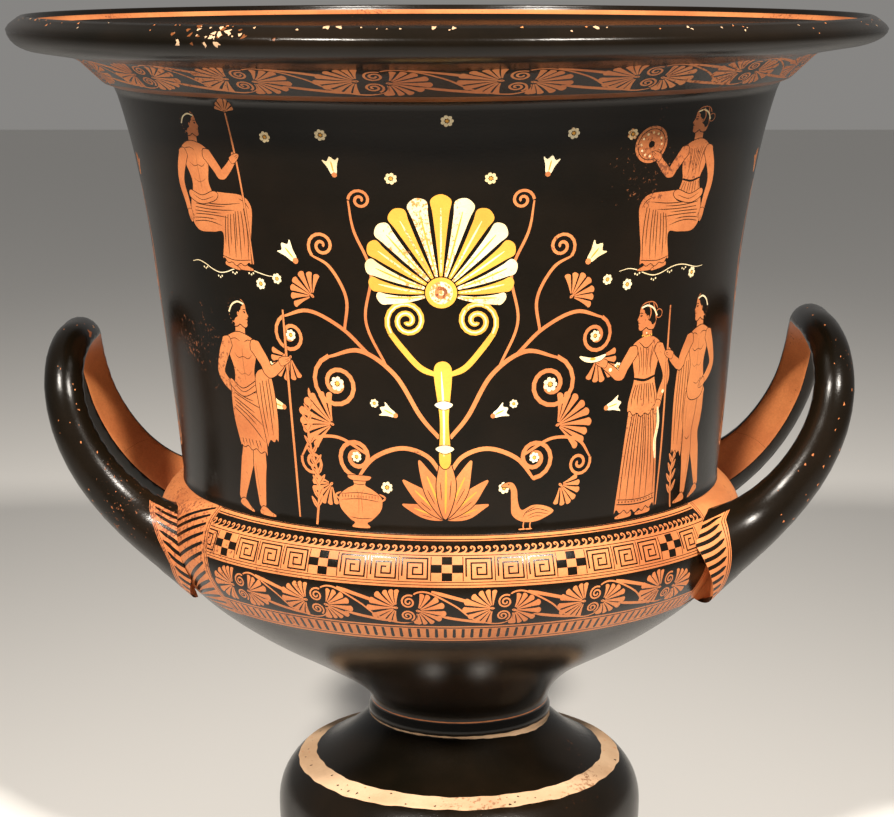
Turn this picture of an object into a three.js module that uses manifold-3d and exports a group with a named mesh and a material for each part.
// A large two-handled mixing bowl (calyx-krater) of fired clay, in millimetres, +Z up.
// The foot stands on Z = 0, the painted front faces -Y and the handles are at +X and -X.
//
// The pot was thrown on a wheel in stages: foot, bowl and flaring wall. The handles were
// rolled, bent and luted on. Firing made it one piece, so it is one closed solid:
// the turned outside, joined to the two handles, with the turned hollow cut out of it.

import * as THREE from 'three';
import { mergeVertices } from 'three/addons/utils/BufferGeometryUtils.js';
import Module from 'manifold-3d';

// ---- driving dimensions ----

const HEIGHT = 514;          // table to the top of the rim
const RIM_R = 249.5;         // widest radius of the lip
const RIDGE_R = 241.3;       // outer edge of the ridge on top of the lip
const RIDGE_WIDTH = 1.9;     // flat top of that ridge

const FOOT_R = 109.9;        // widest radius of the foot
const FOOT_WIDEST_Z = 42;
const FOOT_SHELF_R = 97;     // edge of the shelf on top of the foot
const FOOT_SHELF_Z = 69.7;
const STEM_R = 53.4;         // thinnest radius, where foot and bowl were joined
const STEM_Z = 106;
const STEM_RING_R = 55.6;    // small roll that covers the joint

const CUL_R = 173.3;         // widest radius of the bowl under the wall
const CUL_Z = 218;
const SHOULDER_R = 161.5;    // top of the bowl, where the wall steps in
const SHOULDER_Z = 243.8;
const WALL_R = 157.6;        // foot of the tall wall
const WALL_Z = 249;
const NECK_R = 190;          // top of the wall
const NECK_Z = 475.3;
const LEDGE_R = 196.2;       // narrow step above the wall
const LEDGE_Z = 477.6;
const SOFFIT_R = 213;        // where the flare meets the underside of the lip
const SOFFIT_Z = 492.3;
const LIP_UNDER_R = 238;     // underside of the lip, near its edge
const LIP_UNDER_Z = 496.3;
const LIP_WIDEST_Z = 507.2;

const WALL_THICKNESS = 7.6;
const FLOOR_Z = 131;         // inside bottom of the bowl
const BASE_R = 109;          // plain base under the foot's roll
const RECESS_R = 90;         // hollow under the foot
const RECESS_TOP_Z = 86;

const ROUND_SEGMENTS = 52;   // sides of the turned form
const OUTER_STEPS = 4;       // points along each curve of the outer profile
const INNER_STEPS = 4;       // and along each curve of the hollow's profile

const HANDLE_SIDES = 12;
const HANDLE_STEPS = 24;     // sections along one handle
const FLAT_SIDE = 0.62;      // distance of a handle's flattened side from its centre, in radii
const LEFT_RISE = 0.965;     // the left handle rises less than the right one
const LEFT_OUT = 3;          // it was fixed a little further out
const LEFT_DROP = 3;         // and lower
const LEFT_SPREAD = 0.74;    // and its two arms stand closer together

const WALL_DRIFT = 2;        // sideways warp of the wall, towards +X
const FOOT_SHIFT = 7.5;      // the foot was fixed this far off the bowl's axis, towards +X
const LEDGE_TILT = 0.011;    // the ledge and the lip's underside rise towards +X by this slope,
const LEFT_TILT = 0.005;     // and fall towards -X by this one

// ---- the turned outside ----

// Radius and height of each point, from the middle of the underside, up the outside,
// to the middle of the top.
function outerProfile() {
  const line = new THREE.Path();
  line.moveTo(0, RECESS_TOP_Z);
  line.quadraticCurveTo(34, RECESS_TOP_Z, 52, 60);
  line.quadraticCurveTo(74, 26, RECESS_R, 0);
  // resting edge, plain base and the groove above it
  line.lineTo(BASE_R, 0);
  line.lineTo(BASE_R, 11);
  line.lineTo(105.5, 13.5);
  line.lineTo(106.8, 16);
  // the foot's tall roll, its shelf and the hollow sweep up to the stem
  line.quadraticCurveTo(FOOT_R, 26, FOOT_R, FOOT_WIDEST_Z);
  line.bezierCurveTo(FOOT_R, 54, 105, 63, FOOT_SHELF_R, FOOT_SHELF_Z);
  line.lineTo(87, 72.8);
  line.bezierCurveTo(76, 76, 63, 88.5, 54, 97);
  // the roll at the joint
  line.quadraticCurveTo(STEM_RING_R + 1, 100.5, STEM_R, 104.5);
  line.lineTo(STEM_R, STEM_Z);
  // the bowl
  line.bezierCurveTo(STEM_R + 0.2, 118, 77, 133, 101.9, 147);
  line.bezierCurveTo(135, 165.6, CUL_R, 195, CUL_R, CUL_Z);
  line.bezierCurveTo(CUL_R, 228, 170, 238, SHOULDER_R, SHOULDER_Z);
  line.lineTo(WALL_R + 0.4, 246);
  line.lineTo(WALL_R, WALL_Z);
  // the wall, the ledge and the flare under the lip
  line.bezierCurveTo(167.1, 339, 169.5, 413, NECK_R, NECK_Z);
  line.lineTo(LEDGE_R, LEDGE_Z);
  line.lineTo(209.7, 490.3);
  line.lineTo(SOFFIT_R, SOFFIT_Z);
  line.lineTo(LIP_UNDER_R, LIP_UNDER_Z);
  // the lip's round edge and its top
  line.quadraticCurveTo(248.6, 499.4, RIM_R, LIP_WIDEST_Z);
  line.lineTo(247.4, 509.6);
  line.lineTo(RIDGE_R, HEIGHT);
  line.lineTo(0, HEIGHT);
  return line.getPoints(OUTER_STEPS);
}

// The hollow, from the middle of the bowl's floor to above the rim.
function hollowProfile() {
  const wallFoot = WALL_R - WALL_THICKNESS;
  const above = HEIGHT + 20;
  const mouth = RIDGE_R - RIDGE_WIDTH;
  const line = new THREE.Path();
  line.moveTo(0, FLOOR_Z);
  line.bezierCurveTo(45, FLOOR_Z, 82, 144, 105, 158);
  line.bezierCurveTo(135, 176, CUL_R - 8.5, 198, CUL_R - 8.5, CUL_Z);
  line.quadraticCurveTo(CUL_R - 9, 236, wallFoot, WALL_Z);
  line.bezierCurveTo(159.5, 339, 162, 413, NECK_R - 8, NECK_Z + 2);
  line.bezierCurveTo(190, 490, 205, 500, 222, 502);
  line.quadraticCurveTo(235, 504, mouth - 0.6, HEIGHT - 3.2);
  line.lineTo(mouth, HEIGHT);
  line.lineTo(mouth, above);
  line.lineTo(0, above);
  return line.getPoints(INNER_STEPS);
}

// A LatheGeometry turns about Y, so it is tipped upright.
function turned(points) {
  const geometry = new THREE.LatheGeometry(points, ROUND_SEGMENTS);
  geometry.rotateX(Math.PI / 2);
  return geometry;
}

// ---- a handle ----

// Half of the right handle's centre line: from inside the bowl's side up to the top of the arch.
// Each station is x, y, z and the radius of the roll there; the roots flare where they join.
const ARM = [
  { at: [132, -86, 212], radius: 26 },
  { at: [151, -77, 220.5], radius: 21.5 },
  { at: [170.5, -71, 231], radius: 17 },
  { at: [188, -68, 246], radius: 14.6 },
  { at: [202.5, -66.5, 265], radius: 13.3 },
  { at: [213, -64, 287], radius: 12.3 },
  { at: [217.5, -58.5, 307], radius: 11.7 },
  { at: [218, -45, 322.5], radius: 11.5 },
  { at: [216.5, -24, 330.5], radius: 11.8 },
  { at: [215.5, 0, 331.8], radius: 12 },
];
// The flattened side of the roll faces this point, inside the loop and near the wall.
const LOOP_CENTRE = new THREE.Vector3(160, 0, 276);

function handle(spread, rise) {
  const [, , rootZ] = ARM[0].at;
  const half = ARM.map(({ at: [x, y, z], radius }) => (
    { x, y: y * spread, z: rootZ + (z - rootZ) * rise, radius }));
  const other = half.slice(0, -1).reverse().map((p) => ({ ...p, y: -p.y }));
  const stations = [...half, ...other];
  const centreLine = new THREE.CatmullRomCurve3(
    stations.map((p) => new THREE.Vector3(p.x, p.y, p.z)), false, 'centripetal');
  const radii = new THREE.CatmullRomCurve3(
    stations.map((p, i) => new THREE.Vector3(i, p.radius, 0)), false, 'catmullrom');

  const positions = [];
  for (let i = 0; i <= HANDLE_STEPS; i++) {
    const t = i / HANDLE_STEPS;
    const centre = centreLine.getPoint(t);
    const tangent = centreLine.getTangent(t);
    const radius = radii.getPoint(t).y;
    const inward = LOOP_CENTRE.clone().sub(centre);
    inward.addScaledVector(tangent, -inward.dot(tangent)).normalize();
    const side = new THREE.Vector3().crossVectors(tangent, inward);
    for (let j = 0; j < HANDLE_SIDES; j++) {
      const angle = (2 * Math.PI * (j + 0.5)) / HANDLE_SIDES;
      const across = Math.min(Math.cos(angle), FLAT_SIDE);
      const point = centre.clone()
        .addScaledVector(inward, radius * across)
        .addScaledVector(side, radius * Math.sin(angle));
      positions.push(...point.toArray());
    }
  }
  return closedTube(positions, HANDLE_STEPS + 1, HANDLE_SIDES);
}

// Rings of points, each with the same number of sides, joined in order and capped at both ends.
function closedTube(positions, rings, sides) {
  const index = [];
  for (let i = 0; i < rings - 1; i++) {
    for (let j = 0; j < sides; j++) {
      const a = i * sides + j;
      const b = i * sides + ((j + 1) % sides);
      index.push(a, b, b + sides, a, b + sides, a + sides);
    }
  }
  const last = (rings - 1) * sides;
  for (let j = 1; j < sides - 1; j++) {
    index.push(0, j + 1, j);
    index.push(last, last + j, last + j + 1);
  }
  const geometry = new THREE.BufferGeometry();
  geometry.setAttribute('position', new THREE.Float32BufferAttribute(positions, 3));
  geometry.setIndex(index);
  return geometry;
}

// ---- joining and cutting ----

const wasm = await Module();
wasm.setup();

function toSolid(geometry) {
  geometry.deleteAttribute('normal');
  geometry.deleteAttribute('uv');
  const merged = mergeVertices(geometry, 1e-4);
  return new wasm.Manifold(new wasm.Mesh({
    numProp: 3,
    vertProperties: merged.attributes.position.array,
    triVerts: Uint32Array.from(merged.index.array),
  }));
}

function toGeometry(solid) {
  const { vertProperties, triVerts, numProp } = solid.getMesh();
  const positions = new Float32Array((vertProperties.length / numProp) * 3);
  for (let i = 0; i < positions.length / 3; i++) {
    positions.set(vertProperties.subarray(i * numProp, i * numProp + 3), i * 3);
  }
  const geometry = new THREE.BufferGeometry();
  geometry.setAttribute('position', new THREE.BufferAttribute(positions, 3));
  geometry.setIndex(Array.from(triVerts));
  return geometry;
}

// The pot isn't quite true: the wall leans a little, the ledge slopes
// and the foot stands off the bowl's axis.
function sideways(z) {
  const { smoothstep } = THREE.MathUtils;
  const wall = WALL_DRIFT * (1 - smoothstep(z, 269, 384));
  const foot = (FOOT_SHIFT - WALL_DRIFT) * (1 - smoothstep(z, 108, 138));
  return wall + foot;
}

function upwards(x, z) {
  const { smoothstep } = THREE.MathUtils;
  const slope = x > 0 ? LEDGE_TILT : LEFT_TILT;
  return slope * x * smoothstep(z, 380, 470) * (1 - smoothstep(z, 495, 509));
}

function warp(geometry) {
  const position = geometry.attributes.position;
  for (let i = 0; i < position.count; i++) {
    const x = position.getX(i);
    const z = position.getZ(i);
    position.setX(i, x + sideways(z));
    position.setZ(i, z + upwards(x, z));
  }
  return geometry;
}

// ---- the pot ----

const rightHandle = handle(1, 1);
const leftHandle = handle(LEFT_SPREAD, LEFT_RISE);
leftHandle.rotateZ(Math.PI);
leftHandle.translate(-LEFT_OUT, 0, -LEFT_DROP);

const body = toSolid(turned(outerProfile()))
  .add(toSolid(rightHandle))
  .add(toSolid(leftHandle))
  .subtract(toSolid(turned(hollowProfile())));

const glazedClay = new THREE.MeshStandardMaterial({ color: 0x1d140e, roughness: 0.28, metalness: 0 });
const geometry = warp(toGeometry(body));
geometry.computeVertexNormals();
const krater = new THREE.Mesh(geometry, glazedClay);
krater.name = 'krater';

const part = new THREE.Group();
part.add(krater);

export default part;
